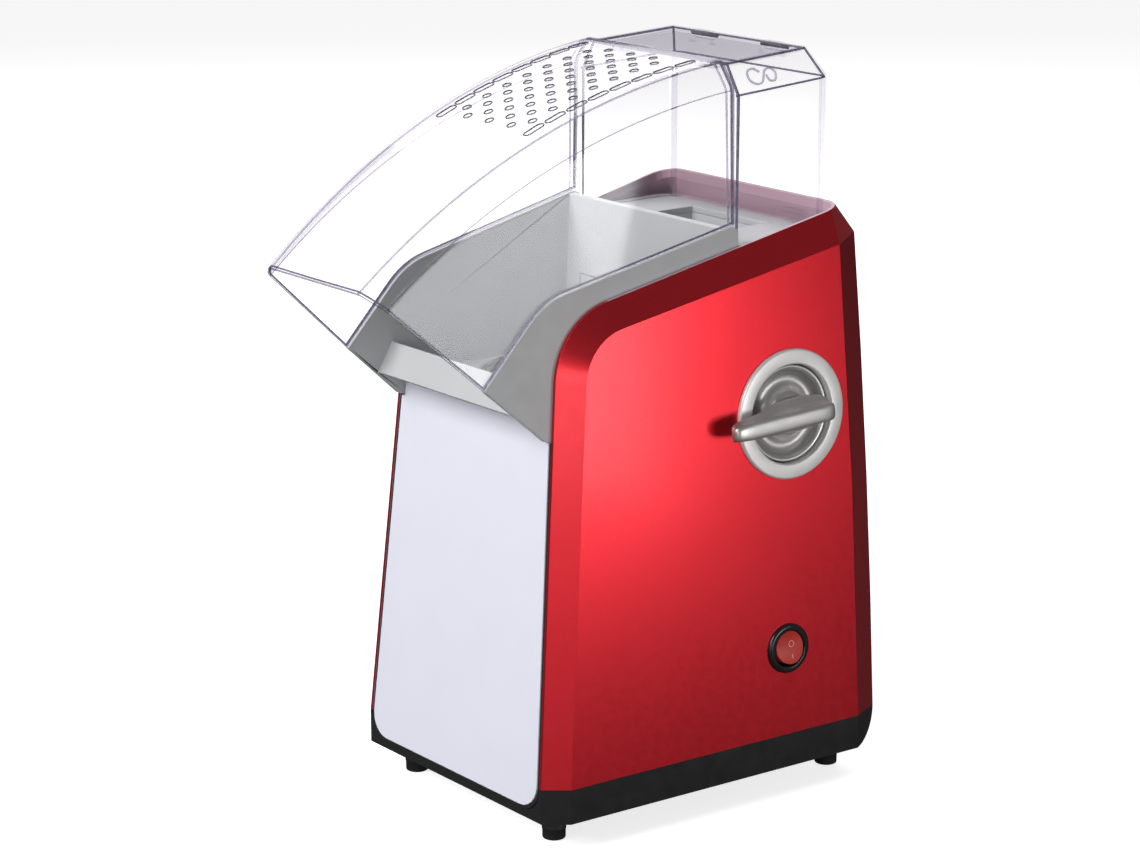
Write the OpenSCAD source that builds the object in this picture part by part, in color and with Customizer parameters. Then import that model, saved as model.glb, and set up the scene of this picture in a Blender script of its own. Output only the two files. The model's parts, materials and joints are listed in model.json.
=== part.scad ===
// Hot-air popcorn maker: a flared metal-look housing on a black base, a grey
// popcorn chute under a clear front cover, and a clear hopper with a dosing lever.
// +X is the lever side, -Y is the chute side, +Z is up, and z = 0 is the table.

/* [Body] */
// Height of the feet under the base
base_bottom = 14; // [12:1:18]
// Height of the seam between base and housing
seam_z = 30; // [28:1:34]
// Front of the housing at the seam
front_y = -58.7; // [-62:0.1:-56]
// Rear of the housing at the seam
rear_y = 128.3; // [126:0.1:132]
// Half the width of the front edge at the seam
edge_half = 64.7; // [62:0.1:68]
// How far the housing leans back per mm of height
front_lean = 0.086; // [0.07:0.001:0.1]
// How much each side leans in per mm of height
side_taper = 0.056; // [0.04:0.001:0.06]
// How much each side spreads per mm towards the rear
side_flare = 0.06; // [0.04:0.001:0.07]
// Wall of the housing
wall = 2.4; // [2:0.1:3]

/* [Top edge] */
// Height of the top edge above y = 0
rim_z = 242; // [238:1:246]
// Rise of the top edge per mm towards the rear
rim_slope = 0.209; // [0.18:0.001:0.22]
// Radius of the top edge's front corner
rim_r = 36; // [30:1:38]
// Rear end of the top edge
rim_rear_y = 116.8; // [115:0.1:118]
// Width of the bevel seen from the front
bevel_x = 7.5; // [6:0.1:9]
// Depth of the bevel behind the front edge
bevel_front = 10.2; // [9:0.1:12]
// Drop of the bevel below the top edge
bevel_top = 11.3; // [10:0.1:13]
// Depth of the bevel before the rear edge
bevel_rear = 15.5; // [13:0.1:17]

/* [Chute] */
// Front upper corner of the cheeks
cheek_front = [-78, 208.2];
// Rear upper corner of the cheeks
cheek_rear = [53.2, 262.9];
// Ridge of the chute's lip
ridge = [-53, 207.2];
// Lower edge of the chute's lip
lip = [-60.8, 194.2];
// Height of the chute's floor
floor_z = 190; // [186:1:194]
// Wall of the chute
chute_wall = 3; // [2.5:0.1:3.5]

/* [Clear covers] */
// Wall of the clear covers
clear_wall = 2; // [1.6:0.1:2.4]
// Upper corner of the mouth
mouth_top = [33.5, -128.3, 254.1];
// Middle corner of the mouth
mouth_mid = [43.9, -122.4, 248.3];
// Upper corner of the front cover's rear end
crown_top = [47, 55.2, 334.9];
// Middle corner of the front cover's rear end
crown_mid = [55.3, 55.2, 323.8];
// Radius of the front cover's arch
arch_r = 330; // [320:1:340]
// Number of slots along each side of the vents
vent_rows = 8; // [6:1:8]
// Where the first row of vents lies, from 0 at the mouth to 1 at the rear
vent_start = 0.537; // [0.5:0.001:0.54]
// Spacing of the rows on the same scale
vent_step = 0.0571; // [0.05:0.0001:0.0575]
// Front face of the hopper cover
hopper_front = 57.8; // [57:0.1:59]
// Rear face of the hopper cover
hopper_rear = 113.9; // [113:0.1:114.2]
// Height of the grey deck
deck_z = 254; // [252:1:255]
// Y and Z of the hopper lid's hinge
lid_axis = [106.5, 334.3];

/* [Dosing lever] */
// Y and Z of the lever's axis
dose_at = [75.9, 178];
// Outer radius of the ring round the dial
ring_r = 29.4; // [28:0.1:31]
// Radius of the dosing drum
drum_r = 17; // [15:0.5:18]
// Length of the lever in front of its axis
lever_front = 40; // [36:0.5:42]
// Length of the lever behind its axis
lever_rear = 16.8; // [15:0.1:20]
// Height of the lever above the housing
lever_high = 13.5; // [10:0.1:13.6]
// Angle the lever's rear end stands up at, from the line of the seam (degrees)
lever_tilt = 3; // [0:1:8]

/* [Switch] */
// Y and Z of the switch
switch_at = [72.1, 70.4];
// Outer radius of the switch's bezel
bezel_r = 11.5; // [11:0.1:12]

/* [Popping unit] */
// Y of the chamber's axis
pot_y = 8; // [7:0.5:8]
// Inner radius of the chamber
pot_r = 40; // [38:0.5:41]
// Height of the chamber's floor
pot_floor = 108; // [106:1:112]

/* [Feet] */
// X and Y of a front foot
foot_front = [51.9, -41.7];
// X and Y of a rear foot
foot_rear = [59.7, 114.3];
// Radius of a foot
foot_r = 5.6; // [5:0.1:6]

/* [Hidden] */
$fn = 64;
gap = 0.3;
rim_t = 1.6;
far = 400;
pot_wall = 1.2;
pot_top = floor_z + 4;
pot_out = pot_r + pot_wall;
drum_half = 21;
drum_z = dose_at[1] - side_taper * side_x(dose_at[0], dose_at[1]);
drum_y = dose_at[0] + side_flare * side_x(dose_at[0], dose_at[1]);
block_half = drum_r + 6;
floor_top = base_bottom + wall;
screw_at = [[62, -30], [66, 90]];
face_z = rim_z - bevel_top;
face_slope = rim_slope - 0.022;
face_r = rim_r - 12;
rear_bow = 0.00014;
wall_top_z = 253.4;
chute_in = rim_t + gap;
mouth_angle = atan2(cheek_front[1] - mouth_top.z, cheek_front[0] - mouth_top.y);
arch_steps = 22;
lid_half = 42;
lid_slope = atan2(2.8, 47.8);

// ---- outline rules -------------------------------------------------------

function front_at(z) = front_y + front_lean * (z - seam_z);
function rear_at(z) = rear_y - rear_bow * pow(z - seam_z, 2);
function edge_x(y, z) = edge_half + side_flare * (y - front_y) - side_taper * (z - seam_z);
function side_x(y, z) = edge_x(y, z) + bevel_x;
function rim_at(y) = rim_z + rim_slope * y;

// Where the leaning front line, set back by d, meets a rising top line
function front_corner(d, z0, slope) =
    let (y = (front_y + d + front_lean * (z0 - seam_z)) / (1 - front_lean * slope))
    [y, z0 + slope * y];

// Arc of radius r between a line that arrives at angle a1 and one that leaves at a2
function fillet(c, a1, a2, r, n) =
    let (half = (a1 - a2) / 2)
    let (start = c - r * tan(half) * [cos(a1), sin(a1)])
    let (mid = start + r * [sin(a1), -cos(a1)])
    [for (i = [0:n]) let (p = a1 + 90 - (a1 - a2) * i / n) mid + r * [cos(p), sin(p)]];

function both_sides(points) = concat(points, [for (p = points) [-p.x, p.y, p.z]]);
function on_edge(outline, inset) = [for (p = outline) [edge_x(p[0], p[1]) - inset, p[0], p[1]]];
function on_side(outline, inset) = [for (p = outline) [side_x(p[0], p[1]) - inset, p[0], p[1]]];

front_angle = atan2(1, front_lean);
rim_angle = atan(rim_slope);
face_angle = atan(face_slope);
corner_r = 11;

function edge_outline(t, low) = concat(
    [[front_at(low) + t, low]],
    fillet(front_corner(t, rim_z - t, rim_slope), front_angle, rim_angle, rim_r - t, 10),
    [[rim_rear_y - corner_r, rim_at(rim_rear_y - corner_r) - t]],
    [for (z = [wall_top_z, 200, 140, 85, low]) [rear_at(z) - t, z]]);
function side_outline(t, low) = concat(
    [[front_at(low) + bevel_front + t, low]],
    fillet(front_corner(bevel_front + t, face_z - t, face_slope), front_angle, face_angle, face_r, 10),
    [for (z = [250.4 - t, 200, 140, 85, low]) [rear_at(z) - bevel_rear - t, z]]);
function rim_corner(t) =
    let (y = rim_rear_y - corner_r)
    [for (a = [0:15:90])
        let (py = y + (corner_r - t) * sin(a))
        [edge_x(y, rim_at(y)) - corner_r + (corner_r - t) * cos(a), py, rim_at(py) - t]];

module hull_of(points) {
    hull() polyhedron(points, [[for (i = [0:len(points) - 1]) i]]);
}

// The whole body, its walls set in by t and its bottom at height low
module body_solid(t, low) {
    hull_of(both_sides(concat(on_edge(edge_outline(t, low), t), on_side(side_outline(t, low), t),
        rim_corner(t))));
}

// Everything inside the top edge, set in by t, open to the front and the top
module inside_rim(t, y0, z0, z1) {
    yc = rim_rear_y - corner_r;
    rim = [for (a = [0:15:90]) [(corner_r - t) * cos(a), yc + (corner_r - t) * sin(a)]];
    hull_of(both_sides([for (z = [z0, z1])
        each concat([[edge_x(y0, z) - t, y0, z]],
            [for (p = rim) [edge_x(yc, z) - corner_r + p[0], p[1], z]])]));
}

// Puts its children on the housing's +X side, their +Z square to it
module on_side_face(at) {
    translate([side_x(at[0], at[1]), at[0], at[1]])
        rotate([0, 90 - atan2(side_taper, norm([1, side_flare])), -atan(side_flare)])
            children();
}

// ---- base ----------------------------------------------------------------

module base_outline(t) {
    e1 = edge_x(front_y, seam_z) - t;
    s1 = side_x(front_y + bevel_front, seam_z) - t;
    s2 = side_x(rear_y - bevel_rear, seam_z) - t;
    e2 = edge_x(rear_y, seam_z) - t;
    right = [[e1, front_y + t], [s1, front_y + bevel_front], [s2, rear_y - bevel_rear], [e2, rear_y - t]];
    polygon(concat(right, [for (i = [3:-1:0]) [-right[i][0], right[i][1]]]));
}

// Side view of the base, round under the rear, extruded across its width
module base_profile(t) {
    r = seam_z - base_bottom - 1;
    rotate([90, 0, 90])
        linear_extrude(height = far, center = true)
            difference() {
                translate([front_y - 1 + t, base_bottom + t])
                    square([rear_y - front_y + 1 - 2 * t, seam_z - base_bottom]);
                translate([rear_y - r, base_bottom + r])
                    difference() {
                        translate([0, -r - 1]) square([r + 1, r + 1]);
                        circle(r = r - t);
                    }
            }
}

module base_tray() {
    color([0.05, 0.05, 0.055])
    difference() {
        intersection() {
            translate([0, 0, base_bottom - 1])
                linear_extrude(height = seam_z - base_bottom + 1) base_outline(0);
            base_profile(0);
        }
        intersection() {
            translate([0, 0, base_bottom]) linear_extrude(height = far) base_outline(wall);
            union() {
                base_profile(wall);
                translate([-far / 2, front_y + 5, seam_z - 2])
                    cube([far, rear_y - front_y - 5 - wall, far]);
            }
        }
        front_recess();
        for (i = [-4:4])
            translate([9 * i - 2, pot_y - 26, base_bottom - 1]) cube([4, 52, wall + 2]);
        for (sx = [-1, 1], f = [foot_front, foot_rear])
            translate([sx * f[0], f[1], base_bottom - 1]) cylinder(h = wall + 2, r = 2.5);
        for (sx = [-1, 1], f = screw_at)
            translate([sx * f[0], f[1], base_bottom - 1]) cylinder(h = wall + 2, r = 1.5);
    }
}

module foot(at) {
    color([0.04, 0.04, 0.045])
    translate([at[0], at[1], 0]) {
        cylinder(h = base_bottom, r1 = foot_r - 0.4, r2 = foot_r);
        cylinder(h = base_bottom + wall + 2, r = 2.5);
    }
}
module foot_front_left() { foot([-foot_front[0], foot_front[1]]); }
module foot_front_right() { foot(foot_front); }
module foot_rear_left() { foot([-foot_rear[0], foot_rear[1]]); }
module foot_rear_right() { foot(foot_rear); }

module base_screws() {
    color([0.7, 0.7, 0.72])
    for (sx = [-1, 1], f = screw_at)
        translate([sx * f[0], f[1], base_bottom - 1.4]) {
            cylinder(h = 1.4, r = 3.2);
            cylinder(h = wall + 12, r = 1.5);
        }
}

// ---- housing -------------------------------------------------------------

// Four posts inside the housing's lower edge, one for each base screw
module housing_posts() {
    intersection() {
        body_solid(1, floor_top + 0.2);
        for (sx = [-1, 1], f = screw_at)
            translate([sx * f[0], f[1], floor_top + 0.2])
                difference() {
                    union() {
                        cylinder(h = 30, r = 4);
                        translate([sx > 0 ? 0 : -20, -1, 16]) cube([20, 2, 14]);
                    }
                    translate([0, 0, -1]) cylinder(h = 14, r = 1.5);
                }
    }
}

module housing_shell() {
    color([0.78, 0.08, 0.12])
    difference() {
        union() {
            difference() {
                body_solid(0, seam_z);
                body_solid(wall, seam_z - 5);
            }
            housing_posts();
        }
        inside_rim(rim_t, front_y - 60, seam_z - 20, far);
        on_side_face(dose_at) translate([0, 0, -20]) cylinder(h = 40, r = ring_r - 5);
        on_side_face(switch_at) translate([0, 0, -20]) cylinder(h = 40, r = bezel_r - 1.6);
        for (i = [0:6])
            translate([-30, rear_y - 20, 60 + 8 * i]) cube([60, 40, 3.6]);
        translate([0, rear_y + 5, 44]) rotate([90, 0, 0]) cylinder(h = 20, r = 6);
    }
}

// The front opening: between the housing's edges, down over the base's front
panel_low = 18;
panel_high = 181;
panel_r = 11;

function panel_outline(t) =
    let (x = edge_x(front_at(panel_low + panel_r), panel_low + panel_r) - t)
    let (z = panel_low + t - rim_t)
    concat([for (a = [0:15:90]) [x - panel_r * (1 - sin(a)), z + panel_r * (1 - cos(a))]],
        [[edge_x(front_at(panel_high), panel_high) - t, panel_high]]);

module panel_slab(t, y0, y1) {
    outline = panel_outline(t);
    hull_of(both_sides([for (d = [y0, y1]) each [for (p = outline) [p[0], front_at(p[1]) + d, p[1]]]]));
}
module front_recess() { panel_slab(rim_t, -5, 5.2); }

module front_frame() {
    color([0.05, 0.05, 0.055])
    difference() {
        panel_slab(rim_t + gap / 2, 0.2, 5);
        panel_slab(rim_t + 1.4, -2, 2.4);
    }
}

tab_high = 187.3;

// Upper end of the panel, which stands between the cheeks and meets the chute's lip from below
module panel_tab(y0, y1) {
    x = edge_x(front_at(tab_high), tab_high) - chute_in - chute_wall - gap;
    hull_of(both_sides([for (z = [panel_high - 2, tab_high], y = [y0, y1]) [x, front_at(z) + y, z]]));
}

module front_panel() {
    color([0.9, 0.9, 0.95]) {
        panel_slab(rim_t + 1.5, -0.3, 2.3);
        panel_tab(-0.3, 2.3);
    }
}

// ---- chute and deck ------------------------------------------------------

mouth_low = [-48.6, 182.3];

function cheek_outline() = concat(
    [cheek_front],
    fillet([-46.4, 241.7], 46.7, 12, rim_r, 6),
    [cheek_rear, [57.4, 261.2], [57.4, 205], [20, 184.5], [-45.2, 181.3], mouth_low]);

// Side view of the chute between its cheeks: lip, ridge, floor and back wall
module chute_profile() {
    t = chute_wall;
    back_y = cheek_rear[0] - t + 0.1;
    polygon([lip, ridge, ridge + [2, -0.9], [-38, floor_z], [back_y, floor_z], [back_y, 261.7],
        [back_y + t, 262.3], [back_y + t, floor_z - t], [-40, floor_z - t]]);
}

module chute_walls() {
    inset = chute_in + chute_wall - 1;
    outline = [[-70, 170], [-70, 270], [60, 270], [60, 170]];
    difference() {
        intersection() {
            rotate([90, 0, 90]) linear_extrude(height = far, center = true) chute_profile();
            hull_of(both_sides(on_edge(outline, inset)));
        }
        translate([0, pot_y, floor_z - 10]) cylinder(h = 20, r = pot_out + 0.1);
    }
}

module cheek(side) {
    outline = cheek_outline();
    points = concat(on_edge(outline, chute_in), on_edge(outline, chute_in + chute_wall));
    hull_of([for (p = points) [side * p.x, p.y, p.z]]);
}

module chute() {
    color([0.72, 0.73, 0.73])
    difference() {
        union() {
            cheek(1);
            cheek(-1);
            chute_walls();
        }
        insert_window(0.4);
    }
}

insert_half = 45.6;
insert_top = 224.8;

module insert_window(t) {
    low_z = floor_z + 6 - t;
    translate([-insert_half - t, 48, low_z]) cube([2 * (insert_half + t), 10, insert_top + t - low_z]);
}

module chute_insert() {
    color([0.70, 0.71, 0.71])
    difference() {
        intersection() {
            insert_window(0);
            translate([-far / 2, 50.4, 0]) cube([far, 2.6, far]);
        }
        translate([-20, 40, floor_z]) cube([40, 30, 18]);
    }
}

module deck() {
    color([0.66, 0.68, 0.70])
    difference() {
        union() {
            inside_rim(chute_in, hopper_front + 0.8, deck_z - 12, deck_z);
            translate([-53.4, cheek_rear[0] + 0.2, deck_z - 3]) cube([106.8, 10, 3]);
        }
        translate([0, 0, -3]) inside_rim(chute_in + 3, hopper_front + 3.8, deck_z - 12, deck_z);
        throat(0, 10);
    }
}

throat_y = 86;
throat_half = [26, 16];

module throat(t, up) {
    translate([-throat_half[0] - t, throat_y - throat_half[1] - t, deck_z - 30])
        cube([2 * (throat_half[0] + t), 2 * (throat_half[1] + t), 30 + up]);
}

// Square funnel from the deck to the drum
module funnel_form(t, drop) {
    low_z = drum_z + drum_r + 3 - drop;
    hull_of([for (sx = [-1, 1], sy = [-1, 1], top = [0, 1])
        [sx * (top ? throat_half[0] + t : 18 + t),
            (top ? throat_y : drum_y) + sy * (top ? throat_half[1] + t : 8 + t),
            top ? deck_z - 3 + drop : low_z]]);
}

module hopper_funnel() {
    color([0.66, 0.68, 0.70])
    difference() {
        funnel_form(2, 0);
        funnel_form(0, 1);
    }
}

module front_cover() {
    color([0.93, 0.93, 0.97, 0.35])
    difference() {
        cover_form();
        vents();
    }
}

// Arc from a to b, bulging upwards and forwards with radius r
function arc_between(a, b, r, s) =
    let (d = b - a)
    let (half = norm(d) / 2)
    let (sweep = 2 * asin(half / r))
    let (flat = sweep * (s - 0.5))
    let (up = [-d[1], d[0]] / norm(d))
    (a + b) / 2 + d / norm(d) * r * sin(flat) + up * (r * cos(flat) - sqrt(r * r - half * half));

function yz(p) = [p.y, p.z];
function lofted(a, b, s) =
    let (q = arc_between(yz(a), yz(b), arch_r, s))
    [a.x + (b.x - a.x) * (q[0] - a.y) / (b.y - a.y), q[0], q[1]];

// The cheeks' upper edge, from the mouth to the rear of the front cover
seat_outline = concat([cheek_front + [0, gap]], fillet([-46.4, 241.7 + gap], 46.7, 12, rim_r, 6),
    [[crown_top.y, 251.6 + 0.213 * crown_top.y + gap]]);
function run_length(path, n) = n == 0 ? 0 : norm(path[n] - path[n - 1]) + run_length(path, n - 1);
seat_length = run_length(seat_outline, len(seat_outline) - 1);
function along(path, d, i = 0) =
    let (step = norm(path[i + 1] - path[i]))
    d <= step || i == len(path) - 2 ? path[i] + (path[i + 1] - path[i]) * d / step
        : along(path, d - step, i + 1);
function seat_at(s) =
    let (q = along(seat_outline, s * seat_length))
    [edge_x(q[0], q[1]) - chute_in, q[0], q[1]];

function cover_ring(s, t) =
    let (top = lofted(mouth_top, crown_top, s))
    let (mid = lofted(mouth_mid, crown_mid, s))
    let (low = seat_at(s))
    let (a = mouth_angle - (90 + mouth_angle) * s)
    let (inward = [0, cos(a), sin(a)])
    let (right = [low - [t, 0, 0], mid - [t, 0, 0] + 0.45 * t * inward, top - [0.5 * t, 0, 0] + t * inward])
    concat(right, [for (i = [2:-1:0]) [-right[i].x, right[i].y, right[i].z]]);

// Skin between the outer rings and the inner rings, closed at both ends and along the seat.
// The last inner ring is set in further, for the frame round the rear end.
module cover_form() {
    n = arch_steps;
    m = 6;
    outer = [for (i = [0:n]) each cover_ring(i / n, 0)];
    inner = [for (i = [0:n]) each cover_ring(i / n, i < n ? clear_wall : 2 * clear_wall)];
    k = len(outer);
    skin = [for (i = [0:n - 1], j = [0:m - 2])
        each let (a = i * m + j, b = a + 1, c = a + m, d = c + 1)
        [[a, c, b], [b, c, d], [k + a, k + b, k + c], [k + b, k + d, k + c]]];
    ends = [for (j = [0:m - 2], e = [0, n * m])
        each let (a = e + j, b = a + 1)
        e == 0 ? [[a, b, k + a], [b, k + b, k + a]] : [[a, k + a, b], [b, k + a, k + b]]];
    seats = [for (i = [0:n - 1], j = [0, m - 1])
        each let (a = i * m + j, c = a + m)
        j == 0 ? [[a, k + a, c], [c, k + a, k + c]] : [[a, c, k + a], [c, k + c, k + a]]];
    polyhedron(concat(outer, inner), concat(skin, ends, seats));
}

// Rows of holes across the arch, every other row between the slots at its two sides
module vents() {
    for (i = [0:vent_rows - 1]) {
        s = vent_start + i * vent_step;
        vent_row(s, [-15.6, 0, 15.6]);
        if (i < vent_rows - 1) vent_row(s + vent_step / 2, [-23.4, -7.8, 7.8, 23.4]);
        for (side = [-1, 1])
            at_vent(s) translate([side * (31.2 + 0.85 * i), 0, 0]) slot(10, 3.4);
    }
}
module vent_row(s, places) {
    at_vent(s) for (x = places) translate([x, 0, 0]) cylinder(h = 20, r = 2.1, center = true, $fn = 16);
}
module at_vent(s) {
    p = lofted(mouth_top, crown_top, s);
    q = lofted(mouth_top, crown_top, s + 0.01);
    translate([0, p.y, p.z]) rotate([atan2(q.z - p.z, q.y - p.y), 0, 0]) children();
}
module slot(length, width) {
    cube([width, length - width, 20], center = true);
    for (e = [-1, 1])
        translate([0, e * (length - width) / 2, 0])
            cylinder(h = 20, r = width / 2, center = true, $fn = 16);
}

// The hopper cover: upright walls, bevelled along the sides and the rear
module hopper_form(t, low) {
    r = 6;
    top = [crown_top.x, hopper_front + t, 333.4 - t];
    back = [45.7, hopper_rear - 8.3, 336.2 - t];
    mid = [54.9, hopper_front + t, 320.4 - 0.4 * t];
    rear = [54.2, hopper_rear - t, 323.5 - 0.4 * t];
    corner = [for (z = [low, rear.z], a = [0:30:90])
        [rear.x - r + (r - t) * cos(a), rear.y + t - r + (r - t) * sin(a), z]];
    hull_of(both_sides(concat([[54.9 - t, hopper_front + t, low], [mid.x - t, mid.y, mid.z],
        [top.x - 0.5 * t, top.y, top.z], [back.x - 0.5 * t, back.y - 0.5 * t, back.z]], corner)));
}

// Places its children at the hinge of the lid, with x along it and y up the slope of the top
module at_lid_hinge() {
    translate([0, lid_axis[0], lid_axis[1]]) rotate([lid_slope, 0, 0]) children();
}
knuckle_x = 24;
knuckle_l = 12;

// Two tabs at the front of the lid's opening, which the lid rests on
module lid_rests() {
    for (sx = [-1, 1])
        translate([30 * sx - 6, -46.6, -2.4]) cube([12, 6, 3]);
}

module knuckle_rod(sx, length, r) {
    translate([sx * knuckle_x, 0, 0]) rotate([0, 90, 0]) cylinder(h = length, r = r, center = true);
}

module hopper_cover() {
    color([0.93, 0.93, 0.97, 0.35])
    difference() {
        union() {
            difference() {
                hopper_form(0, deck_z);
                hopper_form(clear_wall, deck_z - 2);
            }
            intersection() {
                hopper_form(0.4, deck_z);
                at_lid_hinge() {
                    lid_rests();
                    for (sx = [-1, 1], side = [-1, 1])
                        translate([sx * knuckle_x + side * (knuckle_l / 2 + 1.5) - 1.2, -3, -4])
                            cube([2.4, 7, 8]);
                }
            }
        }
        at_lid_hinge() {
            translate([-lid_half - 0.4, -44.4, -0.15]) cube([2 * lid_half + 0.8, 42.5, 10]);
            translate([-lid_half - 0.4, -41, -3]) cube([2 * lid_half + 0.8, 39.1, 4]);
            for (sx = [-1, 1]) {
                translate([sx * knuckle_x - knuckle_l / 2 - 0.3, -4, -2.3]) cube([knuckle_l + 0.6, 8, 10]);
                knuckle_rod(sx, knuckle_l + 5.4, 1);
            }
        }
    }
}

module hopper_lid() {
    color([0.93, 0.93, 0.97, 0.35])
    at_lid_hinge()
        difference() {
            union() {
                translate([-lid_half, -44, -0.1]) cube([2 * lid_half, 41.1, clear_wall]);
                for (sx = [-1, 1]) {
                    knuckle_rod(sx, knuckle_l, 1.9);
                    translate([sx * knuckle_x - knuckle_l / 2, -3.4, -0.1])
                        cube([knuckle_l, 3.4, clear_wall]);
                }
            }
            for (sx = [-1, 1]) knuckle_rod(sx, 20, 1.05);
        }
}

module lid_pins() {
    color([0.8, 0.8, 0.82])
    at_lid_hinge()
        for (sx = [-1, 1])
            knuckle_rod(sx, knuckle_l + 5.4, 1);
}

module hopper_clip() {
    color([0.85, 0.85, 0.9, 0.6])
    translate([28, hopper_rear - clear_wall - 1.6, deck_z]) {
        cube([13, 1.6, 7]);
        translate([0, -2.4, 5]) cube([13, 2.6, 2]);
    }
}

// ---- dosing lever --------------------------------------------------------

drum_from_face = side_x(dose_at[0], dose_at[1]);

module lever_ring() {
    color([0.9, 0.9, 0.89])
    on_side_face(dose_at)
        rotate_extrude($fn = 96)
            polygon([[ring_r - 6.4, -9], [ring_r - 5.2, -9], [ring_r - 5.2, 0], [ring_r, 0], [ring_r, 0.9],
                [ring_r - 1.1, 2], [ring_r - 5.2, 2], [ring_r - 6.4, 1]]);
}

module ring_nut() {
    color([0.2, 0.2, 0.21])
    on_side_face(dose_at)
        translate([0, 0, -wall - 2.6])
            difference() {
                cylinder(h = 2.6, r = ring_r - 2.5);
                translate([0, 0, -1]) cylinder(h = 6, r = ring_r - 5.1);
            }
}

module lever_dial() {
    color([0.72, 0.71, 0.7])
    on_side_face(dose_at)
        rotate_extrude($fn = 96)
            polygon([[4, -12], [ring_r - 6.8, -12], [ring_r - 6.8, -4], [ring_r - 8, -5.2],
                [ring_r - 11, -7.2], [ring_r - 14, -6.6], [ring_r - 16, -1.5], [ring_r - 17.4, 1], [4, 1]]);
}

// Bar of the lever, wide where it meets the dial and narrow towards its ends
module lever_bar() {
    color([0.75, 0.74, 0.73])
    on_side_face(dose_at)
        rotate([0, 0, lever_tilt]) {
            hull_of([for (sx = [-1, 1], y = [-lever_front, lever_rear], top = [0, 1])
                [sx * (top ? 4.2 : 5.4) * (y < 0 ? 0.86 : 1),
                    y + (top ? 0 : (y < 0 ? 3 : -1)), top ? lever_high : 6.2]]);
            hull_of([for (sx = [-1, 1], y = [-16, 13], top = [0, 1])
                [sx * (top ? 5.2 : 9.5), y * (top ? 1 : 0.6), top ? 8 : 1]]);
        }
}

module lever_shaft() {
    color([0.8, 0.8, 0.82])
    on_side_face(dose_at)
        translate([0, 0, -drum_from_face - drum_half - 6])
            cylinder(h = drum_from_face + drum_half + 6, r = 4);
}

module dosing_drum() {
    color([0.85, 0.85, 0.84])
    on_side_face(dose_at)
        translate([0, 0, -drum_from_face - drum_half])
            difference() {
                cylinder(h = 2 * drum_half, r = drum_r);
                translate([0, 0, -1]) cylinder(h = 2 * drum_half + 2, r = 4.05);
                translate([-drum_r - 8, -9, 5]) cube([16, 18, 2 * drum_half - 10]);
            }
}

// Block round the drum, open above to the funnel and below to the drop duct
module drum_housing() {
    color([0.3, 0.3, 0.31])
    difference() {
        on_side_face(dose_at)
            translate([0, 0, -drum_from_face - drum_half - 4])
                difference() {
                    translate([-block_half, -block_half, 0])
                        cube([2 * block_half, 2 * block_half, 2 * drum_half + 8]);
                    translate([0, 0, 3.6]) cylinder(h = 2 * drum_half + 0.8, r = drum_r + 0.4);
                    translate([0, 0, -1]) cylinder(h = 2 * drum_half + 12, r = 4.06);
                    translate([0, -9, 12]) cube([far, 18, 2 * drum_half - 16]);
                    translate([-far, -8, 10]) cube([far, 16, 2 * drum_half - 12]);
                }
        funnel_form(2.2, 0);
    }
}

duct_top = drum_z - block_half - 1;
duct_low = pot_floor + 5;
duct_high = 17;

module drop_form(t) {
    y0 = pot_y + pot_r - 6;
    hull_of([for (sx = [-1, 1], end = [0, 1], up = [-1, 1])
        [sx * (13 + t),
            end == 0 ? y0 : drum_y - 9 * up - t * up,
            end == 0 ? duct_low - 6 + (up > 0 ? duct_high + t : -t) : duct_top]]);
}

module drop_duct() {
    color([0.75, 0.76, 0.78])
    difference() {
        intersection() {
            drop_form(1.2);
            translate([-far / 2, pot_y + pot_out + 0.2, 0]) cube([far, far, far]);
        }
        drop_form(0);
    }
}

// ---- switch --------------------------------------------------------------

rocker_tilt = -8;
pivot_deep = 3;

module switch_bezel() {
    color([0.05, 0.05, 0.055])
    on_side_face(switch_at)
        difference() {
            rotate_extrude()
                polygon([[8.2, -6], [bezel_r - 1.7, -6], [bezel_r - 1.7, 0], [bezel_r, 0], [bezel_r, 0.8],
                    [bezel_r - 1, 1.8], [8.2, 1.8]]);
            translate([0, 0, -pivot_deep]) rotate([90, 0, 0]) cylinder(h = 18, r = 1, center = true);
        }
}

module switch_body() {
    color([0.08, 0.08, 0.085])
    on_side_face(switch_at)
        translate([0, 0, -22])
            difference() {
                cylinder(h = 16, r = bezel_r - 1.7);
                translate([0, 0, 8]) cylinder(h = 10, r = 8.2);
            }
}

// Rocker with a hollow face, pressed in at its upper end
module switch_rocker() {
    color([0.85, 0.12, 0.1])
    on_side_face(switch_at)
        translate([0, 0, -pivot_deep])
            difference() {
                rotate([0, rocker_tilt, 0])
                    difference() {
                        translate([0, 0, -2.4]) cylinder(h = 9, r = 7.5);
                        translate([0, 0, 44.6])
                            rotate([90, 0, 0]) cylinder(h = 30, r = 40, center = true, $fn = 128);
                    }
                rotate([90, 0, 0]) cylinder(h = 30, r = 1.05, center = true);
            }
}

module rocker_pin() {
    color([0.8, 0.8, 0.82])
    on_side_face(switch_at)
        translate([0, 0, -pivot_deep]) rotate([90, 0, 0]) cylinder(h = 18, r = 1, center = true);
}

module switch_terminals() {
    color([0.8, 0.65, 0.25])
    on_side_face(switch_at)
        for (y = [-4, 4])
            translate([-2.4, y - 0.4, -30]) cube([4.8, 0.8, 8]);
}

// ---- popping unit --------------------------------------------------------

module at_pot(z) { translate([0, pot_y, z]) children(); }

flange_z = floor_z - chute_wall - 4.2 - 1.5;

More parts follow.
